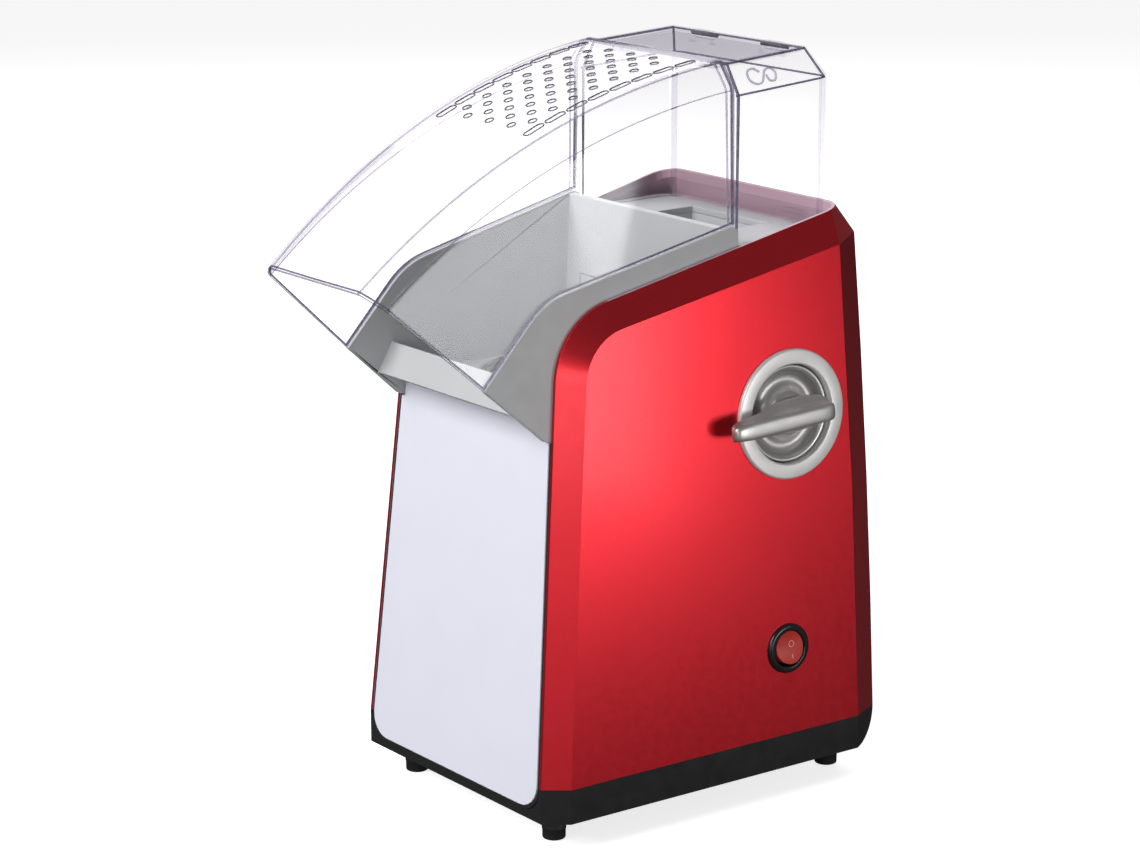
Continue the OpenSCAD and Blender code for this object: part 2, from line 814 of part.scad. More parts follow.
// Pot with swirl slots round its lower wall and a flange that rests on the heater tube
module popping_chamber() {
    color([0.8, 0.8, 0.82])
    difference() {
        at_pot(0)
            rotate_extrude($fn = 96)
                polygon([[6, pot_floor], [pot_r - 4, pot_floor], [pot_out, pot_floor + 4],
                    [pot_out, flange_z], [heater_r, flange_z], [heater_r, flange_z + 1.5],
                    [pot_out, flange_z + 1.5], [pot_out, pot_top], [pot_r, pot_top],
                    [pot_r, pot_floor + 5], [pot_r - 4.6, pot_floor + pot_wall],
                    [6, pot_floor + pot_wall]]);
        for (a = [-75:30:255])
            at_pot(pot_floor + 7) rotate([0, 0, a]) translate([pot_r - 2, -1.2, 0]) cube([8, 2.4, 8]);
        drop_form(0);
    }
}

module chamber_seal() {
    color([0.6, 0.12, 0.1])
    at_pot(flange_z + 1.5)
        difference() {
            cylinder(h = 4.2, r = pot_out + 4);
            translate([0, 0, -1]) cylinder(h = 6, r = pot_out + 0.1);
        }
}

heater_r = 47;
heater_z = 78;

module heater_tube() {
    color([0.75, 0.76, 0.78])
    difference() {
        at_pot(heater_z)
            difference() {
                cylinder(h = flange_z - heater_z, r = heater_r);
                translate([0, 0, -1]) cylinder(h = far, r = heater_r - 1.2);
            }
        drop_form(1.4);
    }
}

frame_h = 18;

// Two crossed mica cards, each slotted half way to take the other
module heater_frame() {
    color([0.85, 0.8, 0.65])
    at_pot(heater_z + 2)
        for (a = [0, 1]) rotate([0, 0, 90 * a])
            difference() {
                translate([-36, -0.6, 0]) cube([72, 1.2, frame_h]);
                translate([-0.6, -2, a * frame_h / 2 - (1 - a)]) cube([1.2, 4, frame_h / 2 + 1]);
            }
}

module heater_coil() {
    color([0.55, 0.5, 0.45])
    at_pot(heater_z + 2)
        for (z = [4, 9, 14])
            translate([0, 0, z]) rotate_extrude() translate([38, 0]) circle(r = 1.8, $fn = 16);
}

module thermostat() {
    color([0.3, 0.28, 0.27])
    at_pot(pot_floor - 6) cylinder(h = 6, r = 8);
}

module thermal_fuse() {
    color([0.9, 0.9, 0.88])
    at_pot(pot_floor - 2.4) translate([20, -8, 0]) rotate([-90, 0, 0]) cylinder(h = 16, r = 2.2, $fn = 24);
}

plate_z = 50;
fan_z = 57;
fan_r = 36;

module fan() {
    color([0.15, 0.15, 0.16])
    at_pot(fan_z)
        difference() {
            union() {
                cylinder(h = 1.6, r = fan_r);
                cylinder(h = 13, r = 9);
                for (a = [0:30:330])
                    rotate([0, 0, a]) translate([8, -0.7, 0]) rotate([0, 0, 12]) cube([26, 1.4, 12]);
            }
            translate([0, 0, -1]) cylinder(h = 20, r = 2.45);
        }
}

module fan_housing() {
    color([0.12, 0.12, 0.13])
    at_pot(plate_z + 2)
        rotate_extrude()
            polygon([[22, 0], [42, 0], [42, 22], [heater_r + 0.5, 24], [heater_r + 0.5, 26], [40, 26],
                [40, 2], [22, 2]]);
}

module motor_shaft() {
    color([0.8, 0.8, 0.82])
    at_pot(floor_top + 1) cylinder(h = 54, r = 2.45);
}

module motor_rotor() {
    color([0.45, 0.3, 0.2])
    at_pot(27)
        difference() {
            cylinder(h = 16, r = 12);
            translate([0, 0, -1]) cylinder(h = 20, r = 2.45);
        }
}

module motor_magnets() {
    color([0.25, 0.25, 0.27])
    at_pot(27)
        difference() {
            cylinder(h = 16, r = 16.5);
            translate([0, 0, -1]) cylinder(h = 20, r = 13.2);
            for (a = [0, 90]) rotate([0, 0, a]) translate([-20, -2, -1]) cube([40, 4, 20]);
        }
}

module motor_can() {
    color([0.6, 0.61, 0.63])
    at_pot(plate_z - 28)
        difference() {
            cylinder(h = 28, r = 18);
            translate([0, 0, 1.5]) cylinder(h = 25, r = 16.5);
            translate([0, 0, -1]) cylinder(h = 40, r = 5.4);
        }
}

module motor_bushes() {
    color([0.75, 0.55, 0.25])
    for (z = [plate_z - 28, plate_z - 4])
        at_pot(z)
            difference() {
                cylinder(h = 4, r = 5.4);
                translate([0, 0, -1]) cylinder(h = 8, r = 2.5);
            }
}

pillar_x = 44;

module motor_plate() {
    color([0.7, 0.71, 0.73])
    at_pot(plate_z)
        difference() {
            union() {
                cylinder(h = 2, r = 26);
                translate([-pillar_x - 6, -9, 0]) cube([2 * pillar_x + 12, 18, 2]);
            }
            translate([0, 0, -1]) cylinder(h = 4, r = 6);
        }
}

module motor_pillars() {
    color([0.06, 0.06, 0.065])
    for (sx = [-1, 1])
        at_pot(floor_top) translate([sx * pillar_x, 0, 0]) cylinder(h = plate_z - floor_top, r = 4);
}

board_y = 90;

// Circuit board with four diodes, standing on two feet
module rectifier_board() {
    color([0.1, 0.4, 0.2])
    translate([-20, board_y, floor_top]) {
        translate([0, 0, 8]) cube([40, 1.6, 34]);
        for (x = [0, 34]) translate([x, -3, 0]) cube([6, 7.6, 10]);
        for (i = [0:3]) translate([5 + 8 * i, -4, 24]) cube([3, 4.2, 6]);
    }
}

// Two leads from the gland to the switch
lead_r = 1.1;
lead_rise = [44, 71.6];

module inner_leads() {
    color([0.85, 0.85, 0.86])
    for (side = [-1, 1])
        let (a = [2.4 * side, rear_y - 12, lead_rise[0]],
            b = [44.6, switch_at[0] + 4 * side, lead_rise[1]],
            d = b - a)
            translate(a)
                rotate([0, acos(d.z / norm(d)), atan2(d.y, d.x)])
                    cylinder(h = norm(d), r = lead_r);
}

module cord_gland() {
    color([0.05, 0.05, 0.055])
    translate([0, rear_y + 0.8, 44]) rotate([90, 0, 0])
        difference() {
            union() {
                cylinder(h = 0.8, r = 8);
                cylinder(h = 9, r = 6);
                translate([0, 0, 0.8 + wall + gap]) cylinder(h = 2.5, r = 7);
            }
            translate([0, 0, -1]) cylinder(h = 12, r = 3.6);
        }
}

base_tray();
foot_front_left();
foot_front_right();
foot_rear_left();
foot_rear_right();
housing_shell();
front_frame();
front_panel();
chute();
chute_insert();
deck();
front_cover();
hopper_cover();
hopper_clip();
hopper_lid();
lid_pins();
hopper_funnel();
drum_housing();
drop_duct();
dosing_drum();
lever_shaft();
lever_dial();
lever_bar();
lever_ring();
ring_nut();
switch_bezel();
switch_body();
switch_rocker();
rocker_pin();
switch_terminals();
popping_chamber();
chamber_seal();
heater_tube();
heater_frame();
heater_coil();
thermostat();
thermal_fuse();
fan();
fan_housing();
motor_shaft();
motor_rotor();
motor_magnets();
motor_can();
motor_bushes();
motor_plate();
motor_pillars();
rectifier_board();
inner_leads();
cord_gland();
base_screws();
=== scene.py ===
import json
import math

import bmesh
import bpy
from mathutils import Matrix, Vector

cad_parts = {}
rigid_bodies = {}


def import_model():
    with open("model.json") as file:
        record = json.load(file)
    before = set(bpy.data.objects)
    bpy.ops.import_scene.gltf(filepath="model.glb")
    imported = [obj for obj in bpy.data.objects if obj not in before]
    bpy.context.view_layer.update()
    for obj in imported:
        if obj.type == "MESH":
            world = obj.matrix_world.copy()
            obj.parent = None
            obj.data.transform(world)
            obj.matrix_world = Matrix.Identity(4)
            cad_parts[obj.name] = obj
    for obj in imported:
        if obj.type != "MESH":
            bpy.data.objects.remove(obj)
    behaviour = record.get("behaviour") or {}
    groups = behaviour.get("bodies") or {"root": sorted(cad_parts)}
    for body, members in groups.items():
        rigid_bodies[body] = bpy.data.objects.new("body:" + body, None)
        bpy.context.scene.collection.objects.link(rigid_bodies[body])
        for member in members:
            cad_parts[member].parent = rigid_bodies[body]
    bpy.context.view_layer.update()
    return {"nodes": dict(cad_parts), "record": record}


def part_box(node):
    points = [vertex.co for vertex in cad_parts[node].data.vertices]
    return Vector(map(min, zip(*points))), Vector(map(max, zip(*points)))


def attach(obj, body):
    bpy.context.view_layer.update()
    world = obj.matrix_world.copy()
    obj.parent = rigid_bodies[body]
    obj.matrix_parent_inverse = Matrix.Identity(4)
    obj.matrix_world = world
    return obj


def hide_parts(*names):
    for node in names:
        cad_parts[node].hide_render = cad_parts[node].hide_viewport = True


# A hot-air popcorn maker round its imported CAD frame. +X is the lever side, -Y the chute side, +Z up.
# Lengths are millimetres up to bmesh_to_mesh, which makes them metres. Angles are degrees.

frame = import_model()

MM = 0.001

# ---- the body's outline, in millimetres, as the CAD part has it --------------

SEAM_Z = 30.0
FRONT_Y = -58.7
EDGE_HALF = 64.7
SIDE_TAPER = 0.056
SIDE_FLARE = 0.06
BEVEL_X = 7.5
RIM_SET_IN = 1.9
CLEAR_WALL = 2.0
MOUTH_TOP = Vector((33.5, -128.3, 254.1))
MOUTH_MID = Vector((43.9, -122.4, 248.3))
MOUTH_LOW = Vector((0, -78.0, 208.2))
CROWN_TOP = Vector((47.0, 55.2, 334.9))
CROWN_MID = Vector((55.3, 55.2, 323.8))
ARCH_R = 330.0
SEAT_CORNER = (-46.4, 241.7)
SEAT_R = 36.0
SEAT_ANGLES = (46.7, 12.0)
SEAT_REAR_Z = 263.36
SEAT_GAP = 0.3
VENT_ROWS = 8
VENT_START = 0.537
VENT_STEP = 0.0571
DOSE_AT = (75.9, 178.0)
RING_R = 29.4
LEVER_TILT = 3.0
SWITCH_AT = (72.1, 70.4)
BEZEL_R = 11.5
FLIPS = (Vector((1, 1, 1)), Vector((-1, 1, 1)))


def edge_x(y, z):
    """Half the width between the housing's front and top edges."""
    return EDGE_HALF + SIDE_FLARE * (y - FRONT_Y) - SIDE_TAPER * (z - SEAM_Z)


def side_x(y, z):
    """Half the width of the housing's flat sides."""
    return edge_x(y, z) + BEVEL_X


def side_matrix(at, turn=0.0):
    """Frame on the +X side at (y, z): local z points out, -x up and +y to the rear."""
    place = Matrix.Translation((side_x(*at), at[0], at[1]))
    lean = math.pi / 2 - math.atan2(SIDE_TAPER, math.hypot(1, SIDE_FLARE))
    turned = Matrix.Rotation(-math.atan(SIDE_FLARE), 4, "Z") @ Matrix.Rotation(lean, 4, "Y")
    return place @ turned @ Matrix.Rotation(math.radians(turn), 4, "Z")


# ---- materials ---------------------------------------------------------------

class Look:
    """A node-based material under construction."""

    def __init__(self, name):
        self.mat = bpy.data.materials.new(name)
        self.mat.use_nodes = True
        self.tree = self.mat.node_tree
        self.shader = self.tree.nodes["Principled BSDF"]
        self.output = self.tree.nodes["Material Output"]

    def node(self, kind, **values):
        made = self.tree.nodes.new(kind)
        for key, value in values.items():
            if key in made.inputs:
                made.inputs[key].default_value = value
            else:
                setattr(made, key, value)
        return made

    def link(self, a, b):
        self.tree.links.new(a, b)

    def set(self, **values):
        for key, value in values.items():
            self.shader.inputs[key.replace("_", " ")].default_value = value
        return self

    def place(self, scale=(1, 1, 1)):
        """Position in the object, stretched by scale."""
        coords = self.node("ShaderNodeTexCoord")
        mapping = self.node("ShaderNodeMapping")
        mapping.inputs["Scale"].default_value = scale
        self.link(coords.outputs["Object"], mapping.inputs["Vector"])
        return mapping.outputs["Vector"]

    def noise(self, scale, detail=3.0, stretch=(1, 1, 1)):
        made = self.node("ShaderNodeTexNoise", Scale=scale, Detail=detail)
        self.link(self.place(stretch), made.inputs["Vector"])
        return made.outputs["Fac"]

    def spread(self, value, low, high, from_low=0.3, from_high=0.7):
        made = self.node("ShaderNodeMapRange")
        made.inputs["From Min"].default_value = from_low
        made.inputs["From Max"].default_value = from_high
        made.inputs["To Min"].default_value = low
        made.inputs["To Max"].default_value = high
        self.link(value, made.inputs["Value"])
        return made.outputs["Result"]

    def colours(self, value, dark, light):
        ramp = self.node("ShaderNodeValToRGB")
        ramp.color_ramp.elements[0].position = 0.3
        ramp.color_ramp.elements[0].color = (*dark, 1)
        ramp.color_ramp.elements[1].position = 0.7
        ramp.color_ramp.elements[1].color = (*light, 1)
        self.link(value, ramp.inputs["Fac"])
        return ramp.outputs["Color"]

    def bump(self, value, strength, distance=0.0002):
        made = self.node("ShaderNodeBump", Strength=strength, Distance=distance)
        self.link(value, made.inputs["Height"])
        self.link(made.outputs["Normal"], self.shader.inputs["Normal"])
        return made


def shades(colour, spread):
    """A darker and a lighter shade of a colour."""
    return [tuple(max(0.0, min(1.0, c * f)) for c in colour) for f in (1 - spread, 1 + spread)]


def moulded(name, colour, rough=0.42, grain=0.06, spread=0.05, **extra):
    """Moulded plastic: faint cloudiness, a fine spark-eroded grain."""
    look = Look(name)
    dark, light = shades(colour, spread)
    look.link(look.colours(look.noise(38), dark, light), look.shader.inputs["Base Color"])
    fine = look.noise(2600, 2)
    look.link(look.spread(look.noise(120), rough - 0.05, rough + 0.06), look.shader.inputs["Roughness"])
    look.bump(fine, grain, 0.00008)
    return look.set(**extra).mat


def metal(name, colour, rough=0.25, brushed=(1, 1, 60), spread=0.08):
    """Metal with fine brushing across one direction."""
    look = Look(name)
    dark, light = shades(colour, spread)
    streaks = look.noise(90, 4, brushed)
    look.link(look.colours(streaks, dark, light), look.shader.inputs["Base Color"])
    look.link(look.spread(streaks, rough - 0.08, rough + 0.1), look.shader.inputs["Roughness"])
    look.bump(streaks, 0.05, 0.0001)
    return look.set(Metallic=1.0).mat


def red_paint():
    """Translucent red lacquer over a fine metallic flake."""
    look = Look("red_paint")
    flake = look.node("ShaderNodeTexVoronoi", Scale=4200)
    look.link(look.place(), flake.inputs["Vector"])
    cloud = look.colours(look.noise(9, 2), (0.70, 0.016, 0.028), (0.78, 0.020, 0.034))
    glint = look.node("ShaderNodeMix", data_type="RGBA", blend_type="ADD")
    glint.inputs[0].default_value = 0.012
    look.link(cloud, glint.inputs[6])
    look.link(flake.outputs["Color"], glint.inputs[7])
    look.link(glint.outputs[2], look.shader.inputs["Base Color"])
    look.link(look.spread(look.noise(300, 2), 0.31, 0.35), look.shader.inputs["Roughness"])
    look.bump(look.noise(700, 2), 0.015, 0.0001)
    return look.set(Metallic=0.92, Coat_Weight=0.3, Coat_Roughness=0.15).mat


def clear_plastic():
    """Clear plastic: light goes straight through, tinted where it is seen edge on, and mirrors at a slant."""
    look = Look("clear_plastic")
    slant = look.node("ShaderNodeLayerWeight", Blend=0.5).outputs["Facing"]
    tint = look.node("ShaderNodeMix", data_type="RGBA")
    tint.inputs[6].default_value = (0.996, 0.995, 0.998, 1)
    tint.inputs[7].default_value = (0.80, 0.77, 0.85, 1)
    look.link(look.spread(slant, 0, 1, 0.6, 1.0), tint.inputs[0])
    through = look.node("ShaderNodeBsdfTransparent")
    look.link(tint.outputs[2], through.inputs["Color"])
    look.set(Metallic=1.0)
    look.shader.inputs["Base Color"].default_value = (0.93, 0.93, 0.96, 1)
    look.link(look.spread(look.noise(60, 2), 0.03, 0.07), look.shader.inputs["Roughness"])
    steep = look.node("ShaderNodeMath", operation="POWER")
    steep.inputs[1].default_value = 5.0
    look.link(slant, steep.inputs[0])
    both = look.node("ShaderNodeMixShader")
    look.link(look.spread(steep.outputs[0], 0.025, 0.45, 0.0, 1.0), both.inputs[0])
    look.link(through.outputs[0], both.inputs[1])
    look.link(look.shader.outputs[0], both.inputs[2])
    look.link(both.outputs[0], look.output.inputs["Surface"])
    return look.mat


def edge_plastic(name, colour, through, solid):
    """Cut edge or thick rib of clear plastic: smoky violet, with the solid share of it not see-through."""
    look = Look(name)
    dark, light = shades(colour, 0.25)
    streaks = look.noise(220, 3)
    look.link(look.colours(streaks, dark, light), look.shader.inputs["Base Color"])
    look.set(Roughness=0.12)
    look.bump(streaks, 0.04, 0.0001)
    clear = look.node("ShaderNodeBsdfTransparent", Color=(*through, 1))
    both = look.node("ShaderNodeMixShader")
    both.inputs[0].default_value = solid
    look.link(clear.outputs[0], both.inputs[1])
    look.link(look.shader.outputs[0], both.inputs[2])
    look.link(both.outputs[0], look.output.inputs["Surface"])
    return look.mat


RED = red_paint()
BLACK = moulded("black_plastic", (0.012, 0.012, 0.013), 0.38, 0.08)
FRAME_BLACK = moulded("frame_black", (0.015, 0.015, 0.018), 0.3, 0.02)
RUBBER = moulded("foot_rubber", (0.012, 0.012, 0.013), 0.62, 0.15)
WHITE = moulded("panel_white", (0.80, 0.81, 0.91), 0.34, 0.004, 0.01)
BARE_RED = moulded("bare_inner_plastic", (0.52, 0.34, 0.41), 0.5, 0.03, 0.05)
GREY = moulded("chute_grey", (0.52, 0.53, 0.54), 0.46, 0.002, 0.015)
DECK_GREY = moulded("deck_grey", (0.52, 0.53, 0.55), 0.46, 0.002, 0.015)
CLEAR = clear_plastic()
EDGE = edge_plastic("clear_edge", (0.16, 0.14, 0.20), (0.62, 0.59, 0.70), 0.55)
RIB = edge_plastic("clear_rib", (0.42, 0.39, 0.48), (0.84, 0.82, 0.88), 0.30)
SMOKE = edge_plastic("clear_smoke_ring", (0.09, 0.08, 0.11), (0.55, 0.52, 0.62), 0.7)
FAINT = edge_plastic("clear_thick_corner", (0.55, 0.52, 0.60), (0.95, 0.94, 0.97), 0.07)
CLEAR_LOOKS = (CLEAR, EDGE, RIB, SMOKE, FAINT)
SILVER = moulded("lever_silver", (0.58, 0.57, 0.56), 0.38, 0.008, 0.03, Metallic=0.8)
RING_PALE = moulded("ring_pale", (0.82, 0.81, 0.80), 0.34, 0.04, 0.02, Metallic=0.35)
BEZEL = moulded("bezel_black", (0.010, 0.010, 0.011), 0.22, 0.02)
ROCKER = moulded("rocker_red", (0.62, 0.035, 0.022), 0.22, 0.01, Subsurface_Weight=0.15)
MARK = moulded("mark_white", (0.75, 0.55, 0.52), 0.4, 0.01)
STEEL = metal("steel", (0.62, 0.62, 0.64))
ALUMINIUM = metal("spun_aluminium", (0.80, 0.80, 0.82), 0.22, (1, 1, 40))
BRASS = metal("brass", (0.80, 0.62, 0.28), 0.25)
SEAL = moulded("seal_rubber", (0.35, 0.04, 0.03), 0.6, 0.1)
MICA = moulded("mica_card", (0.62, 0.55, 0.40), 0.5, 0.2, 0.25)
FAN_BLACK = moulded("fan_plastic", (0.03, 0.03, 0.032), 0.45, 0.05)
IRON = metal("dark_iron", (0.22, 0.22, 0.24), 0.45)
BOARD = moulded("board_green", (0.02, 0.16, 0.06), 0.35, 0.1)
LEAD = moulded("lead_white", (0.75, 0.75, 0.74), 0.4, 0.03)
DRUM = moulded("drum_plastic", (0.75, 0.75, 0.72), 0.4, 0.04)

SLOT_LOOKS = {
    "housing_red": RED, "base_black": BLACK, "foot_rubber": RUBBER, "frame_black": FRAME_BLACK,
    "panel_white": WHITE, "chute_grey": GREY, "deck_grey": DECK_GREY, "clear": CLEAR,
    "lever_silver": SILVER, "ring_pale": RING_PALE, "drum_plastic": DRUM, "bezel_black": BEZEL,
    "rocker_red": ROCKER, "steel": STEEL, "aluminium": ALUMINIUM, "brass": BRASS, "seal": SEAL,
    "mica": MICA, "fan_black": FAN_BLACK, "motor_iron": IRON, "board_green": BOARD, "lead_white": LEAD,
}
node_slot = {part["node"]: part["material_slot"] for part in frame["record"]["subparts"]}
node_body = {n: body for body, nodes in frame["record"]["behaviour"]["bodies"].items() for n in nodes}

for name, obj in frame["nodes"].items():
    obj.data.materials.clear()
    obj.data.materials.append(SLOT_LOOKS[node_slot[name]])


# ---- mesh helpers ------------------------------------------------------------

def piece(name, mesh, body, slot, *looks):
    """A new object in the scene that rides on a body."""
    obj = bpy.data.objects.new(name, mesh)
    bpy.context.scene.collection.objects.link(obj)
    for look in looks:
        mesh.materials.append(look)
    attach(obj, body)
    return obj


def bmesh_to_mesh(name, bm):
    """A mesh in metres, its faces turned outwards, from a bmesh in millimetres."""
    bmesh.ops.scale(bm, vec=(MM, MM, MM), verts=bm.verts)
    bmesh.ops.recalc_face_normals(bm, faces=bm.faces)
    mesh = bpy.data.meshes.new(name)
    bm.to_mesh(mesh)
    bm.free()
    return mesh


def smooth(obj, angle=32):
    """Smooth shading, with edges over the angle kept sharp."""
    mesh = obj.data
    mesh.shade_smooth()
    mesh.set_sharp_from_angle(angle=math.radians(angle))


def rods(name, bm, body, look):
    """A piece of thin clear rods, shaded round."""
    smooth(piece(name, bmesh_to_mesh(name, bm), body, "clear", look), 60)


def bake_modifiers(obj):
    """Applies an object's modifiers to its mesh."""
    graph = bpy.context.evaluated_depsgraph_get()
    mesh = bpy.data.meshes.new_from_object(obj.evaluated_get(graph), depsgraph=graph)
    obj.modifiers.clear()
    obj.data = mesh


def rounded(obj, width, angle, segments):
    """Rounds every edge over the angle, and keeps the flat faces flat."""
    bevel = obj.modifiers.new("bevel", "BEVEL")
    bevel.width = width * MM
    bevel.segments = segments
    bevel.limit_method = "ANGLE"
    bevel.angle_limit = math.radians(angle)
    bevel.use_clamp_overlap = True
    bevel.harden_normals = False
    obj.data.shade_smooth()
    normals = obj.modifiers.new("normals", "WEIGHTED_NORMAL")
    normals.keep_sharp = False
    normals.weight = 90


def refined(name, node, width, angle, segments):
    """A CAD node's own shape with merged flats and rounded edges, in its place."""
    source = frame["nodes"][node]
    bm = bmesh.new()
    bm.from_mesh(source.data)
    bmesh.ops.remove_doubles(bm, verts=bm.verts, dist=2e-6)
    bmesh.ops.dissolve_limit(bm, angle_limit=math.radians(0.6), verts=bm.verts, edges=bm.edges)
    mesh = bpy.data.meshes.new(name)
    bm.to_mesh(mesh)
    bm.free()
    obj = piece(name, mesh, node_body[node], node_slot[node], SLOT_LOOKS[node_slot[node]])
    rounded(obj, width, angle, segments)
    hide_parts(node)
    return obj


def lathe(profile, matrix, steps=96):
    """A closed ring swept round local z from (radius, height) points. A radius of 0 makes a pole."""
    bm = bmesh.new()
    rings = []
    for r, z in profile:
        if r == 0:
            rings.append([bm.verts.new(matrix @ Vector((0, 0, z)))])
            continue
        ring = []
        for i in range(steps):
            a = 2 * math.pi * i / steps
            ring.append(bm.verts.new(matrix @ Vector((r * math.cos(a), r * math.sin(a), z))))
        rings.append(ring)
    pairs = list(zip(rings, rings[1:]))
    if len(rings[0]) > 1 and len(rings[-1]) > 1:
        pairs.append((rings[-1], rings[0]))
    for a, b in pairs:
        for i in range(steps):
            j = (i + 1) % steps
            if len(a) == 1:
                bm.faces.new((a[0], b[i], b[j]))
            elif len(b) == 1:
                bm.faces.new((a[i], b[0], a[j]))
            else:
                bm.faces.new((a[i], b[i], b[j], a[j]))
    return bm


def arc(cx, cy, r, a0, a1, n):
    """Points on a circle from angle a0 to a1, in degrees."""
    return [(cx + r * math.cos(math.radians(a0 + (a1 - a0) * i / n)),
             cy + r * math.sin(math.radians(a0 + (a1 - a0) * i / n))) for i in range(n + 1)]


def tube(bm, points, radius, sides=8):
    """A round rod along a list of points, closed at both ends."""
    rings = []
    for i, p in enumerate(points):
        ahead = points[min(i + 1, len(points) - 1)]
        behind = points[max(i - 1, 0)]
        along = (ahead - behind).normalized()
        across = along.cross(Vector((0, 0, 1)))
        if across.length < 0.05:
            across = along.cross(Vector((0, 1, 0)))
        across.normalize()
        up = across.cross(along).normalized()
        ring = []
        for k in range(sides):
            a = 2 * math.pi * k / sides
            ring.append(bm.verts.new(p + radius * (math.cos(a) * across + math.sin(a) * up)))
        rings.append(ring)
    for a, b in zip(rings, rings[1:]):
        for k in range(sides):
            j = (k + 1) % sides
            bm.faces.new((a[k], a[j], b[j], b[k]))
    bm.faces.new(rings[0][::-1])
    bm.faces.new(rings[-1])


def mirrored(points):
    """The same points on the other side of x = 0."""
    return [Vector((-p.x, p.y, p.z)) for p in points]


# ---- the clear front cover ---------------------------------------------------

VENT_R = 1.9
VENT_COLUMNS = (-15.6, 0, 15.6)
VENT_COLUMNS_BETWEEN = (-23.4, -7.8, 7.8, 23.4)
VENT_SLOT_X = 31.2
VENT_SLOT_SPREAD = 0.85
VENT_SLOT_LENGTH = 6.6
RIM_DEPTH = 0.2
RIM_ROD = 0.34
RIM_GAP = 0.1
FOLD_INSET = Vector((1.2, 0, 1.5))
FOLD_RODS = ((MOUTH_MID, CROWN_MID, 0.3), (MOUTH_TOP, CROWN_TOP, 0.5))
FOLD_STEPS = 48
SEAT_ROD = 0.5
SEAT_STEPS = 40


def between(a, b, s):
    """Point at s on the arch that bulges up and forward between a and b, x in step with y."""
    chord = Vector((b.y - a.y, b.z - a.z))
    half = chord.length / 2
    sweep = 2 * math.asin(half / ARCH_R)
    turn = sweep * (s - 0.5)
    along = chord.normalized()
    up = Vector((-along.y, along.x))
    middle = Vector(((a.y + b.y) / 2, (a.z + b.z) / 2))
    rise = ARCH_R * math.cos(turn) - math.sqrt(ARCH_R ** 2 - half ** 2)
    q = middle + along * ARCH_R * math.sin(turn) + up * rise
    share = (q.x - a.y) / (b.y - a.y)
    return Vector((a.x + (b.x - a.x) * share, q.x, q.y))


def seat_path():
    """The cheeks' upper edge, which the cover rests on, as (y, z) points."""
    a1, a2 = (math.radians(a) for a in SEAT_ANGLES)
    run = SEAT_R * math.tan((a1 - a2) / 2)
    corner = Vector(SEAT_CORNER)
    start = corner - run * Vector((math.cos(a1), math.sin(a1)))
    centre = start + SEAT_R * Vector((math.sin(a1), -math.cos(a1)))
    points = [Vector((MOUTH_LOW.y, MOUTH_LOW.z))]
    steps = 12
    for i in range(steps + 1):
        p = a1 + math.pi / 2 - (a1 - a2) * i / steps
        points.append(centre + SEAT_R * Vector((math.cos(p), math.sin(p))))
    points.append(Vector((CROWN_TOP.y, SEAT_REAR_Z)))
    return [p + Vector((0, SEAT_GAP)) for p in points]


SEAT = seat_path()
SEAT_LENGTH = sum((b - a).length for a, b in zip(SEAT, SEAT[1:]))


def seat_at(s):
    """Point at s along the seat, from 0 at the mouth to 1 at the rear, on the +X side."""
    left = s * SEAT_LENGTH
    for a, b in zip(SEAT, SEAT[1:]):
        step = (b - a).length
        if left <= step or b is SEAT[-1]:
            q = a + (b - a) * min(1.0, left / step)
            return Vector((edge_x(q.x, q.y) - RIM_SET_IN, q.x, q.y))
        left -= step


def corner_curve(before, corner, after, reach, steps=5):
    """A corner between two straight runs, rounded off over the reach."""
    a = corner + (before - corner).normalized() * reach
    b = corner + (after - corner).normalized() * reach
    return [(1 - t) ** 2 * a + 2 * t * (1 - t) * corner + t * t * b
            for t in (i / steps for i in range(steps + 1))]


def cover_section(s, steps_low=10, steps_top=16):
    """One half of the cover's section, from the seat to the middle of the arch."""
    low, mid, top = seat_at(s), between(MOUTH_MID, CROWN_MID, s), between(MOUTH_TOP, CROWN_TOP, s)
    middle = Vector((0, top.y, top.z))
    mid_curve = corner_curve(low, mid, top, 2.6)
    top_curve = corner_curve(mid, top, middle, 2.6)
    flank = [low.lerp(mid_curve[0], i / steps_low) for i in range(steps_low)]
    crown = [top_curve[-1].lerp(middle, i / steps_top) for i in range(1, steps_top + 1)]
    return flank + mid_curve + top_curve + crown


def cover_skin(stations=60):
    """The cover's outer face as an open sheet."""
    bm = bmesh.new()
    rings = []
    for i in range(stations + 1):
        half = cover_section(i / stations)
        full = half + mirrored(half[:-1])[::-1]
        rings.append([bm.verts.new(p) for p in full])
    for a, b in zip(rings, rings[1:]):
        for k in range(len(a) - 1):
            bm.faces.new((a[k], b[k], b[k + 1], a[k + 1]))
    return bm


def vent_frame(s):
    """Frame on the arch at s: z square to it, y along it."""
    here = between(MOUTH_TOP, CROWN_TOP, s)
    ahead = between(MOUTH_TOP, CROWN_TOP, s + 0.01)
    slope = math.atan2(ahead.z - here.z, ahead.y - here.y)
    return Matrix.Translation((0, here.y, here.z)) @ Matrix.Rotation(slope, 4, "X")


def vent_places():
    """(frame, x, length) of every vent: a length of 0 is a round hole."""
    for i in range(VENT_ROWS):
        s = VENT_START + i * VENT_STEP
        for x in VENT_COLUMNS:
            yield vent_frame(s), x, 0
        for side in (-1, 1):
            yield vent_frame(s), side * (VENT_SLOT_X + VENT_SLOT_SPREAD * i), VENT_SLOT_LENGTH
        if i < VENT_ROWS - 1:
            for x in VENT_COLUMNS_BETWEEN:
                yield vent_frame(s + VENT_STEP / 2), x, 0


